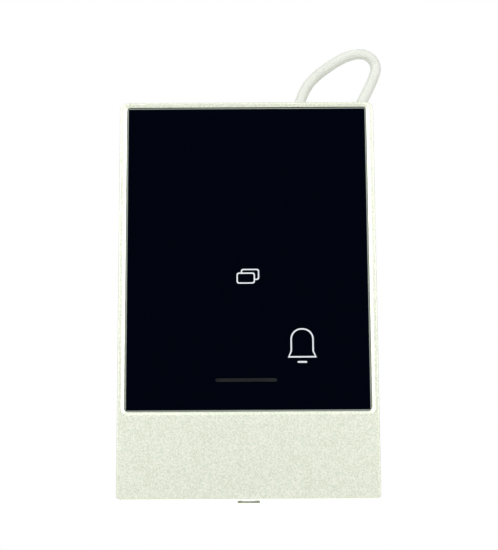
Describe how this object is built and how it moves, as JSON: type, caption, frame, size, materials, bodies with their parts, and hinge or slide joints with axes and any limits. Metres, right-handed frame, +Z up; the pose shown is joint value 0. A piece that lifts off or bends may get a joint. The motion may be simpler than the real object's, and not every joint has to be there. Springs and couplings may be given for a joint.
{
  "type": "video doorbell",
  "caption": "Slim upright video doorbell with a black touch glass in a silver metal frame, a plain metal chin, a wall bracket behind and a white cable loop over its top edge.",
  "frame": {"origin": "on the wall plane, which is the bracket's rear face, at the centre of the body and of the four wall screws", "axes": "+Z up, the glass faces -Y, +X to the right as seen from the front"},
  "size_m": [0.095, 0.02, 0.1675],
  "materials": {
    "metal_silver": "bead-blasted and clear-anodised silver",
    "glass_black": "back-painted black touch glass, glossy",
    "symbol_white": "white ceramic print",
    "bar_grey": "smoked translucent print",
    "tape_black": "black acrylic foam tape",
    "film_clear": "clear sensor film",
    "acrylic": "frosted acrylic",
    "board_green": "solder-masked glass epoxy",
    "chip_black": "moulded epoxy",
    "led_white": "white ceramic with phosphor",
    "tin": "tinned steel",
    "copper": "enamelled copper",
    "steel": "zinc-plated sheet steel",
    "screw_steel": "stainless steel",
    "brass": "turned brass",
    "cover_black": "fine-textured moulded ABS",
    "button_grey": "moulded acetal",
    "rubber_black": "soft silicone rubber",
    "rubber_white": "soft white PVC",
    "cable_white": "satin white PVC",
    "connector_white": "natural nylon",
    "paper_white": "blank printed label, satin polyester",
    "lens_glass": "coated optical plastic",
    "cone_paper": "pressed paper cone"
  },
  "bodies": {
    "bracket": {"wall_bracket": "steel"},
    "unit": {"front_frame": "metal_silver", "front_glass": "glass_black", "bell_symbol": "symbol_white", "card_symbol": "symbol_white", "status_bar": "bar_grey", "glass_tape": "tape_black", "touch_film": "film_clear", "light_guide": "acrylic", "key_board": "board_green", "key_leds": "led_white", "rfid_coil": "copper", "board_spacers": "brass", "board_connector": "chip_black", "main_board": "board_green", "board_chips": "chip_black", "shield_can": "tin", "board_screws": "screw_steel", "cable_header": "connector_white", "camera_holder": "chip_black", "image_sensor": "chip_black", "camera_lens": "lens_glass", "camera_gasket": "rubber_black", "ir_leds": "lens_glass", "speaker_gasket": "rubber_black", "speaker_frame": "cover_black", "speaker_cone": "cone_paper", "speaker_magnet": "screw_steel", "mic_boot": "rubber_black", "microphone": "tin", "rear_cover": "cover_black", "rear_seal": "rubber_black", "cover_screws": "screw_steel", "rating_label": "paper_white", "lock_screw": "screw_steel", "lock_nut": "brass", "tamper_sleeve": "rubber_black", "tamper_switch": "chip_black", "reset_switch": "chip_black", "cable_grommet": "rubber_white", "pigtail_cable": "cable_white", "pigtail_connector": "connector_white", "connector_contacts": "brass"},
    "tamper_pin": {"tamper_plunger": "button_grey"},
    "reset_key": {"reset_button": "button_grey"}
  },
  "joints": [
    {"name": "unit_swing", "type": "hinge", "parent": "bracket", "child": "unit", "pos_m": [0, -0.005, 0.06445], "axis": [-1, 0, 0], "range_deg": [0, 12]},
    {"name": "tamper_pin_travel", "type": "slide", "parent": "unit", "child": "tamper_pin", "axis": [0, -1, 0], "range_m": [0, 0.0012], "stiffness_N_per_m": 300, "springref_m": -0.001, "deforming": ["tamper_sleeve"]},
    {"name": "reset_button_travel", "type": "slide", "parent": "unit", "child": "reset_key", "axis": [0, -1, 0], "range_m": [0, 0.0004], "stiffness_N_per_m": 500, "springref_m": -0.0005}
  ]
}
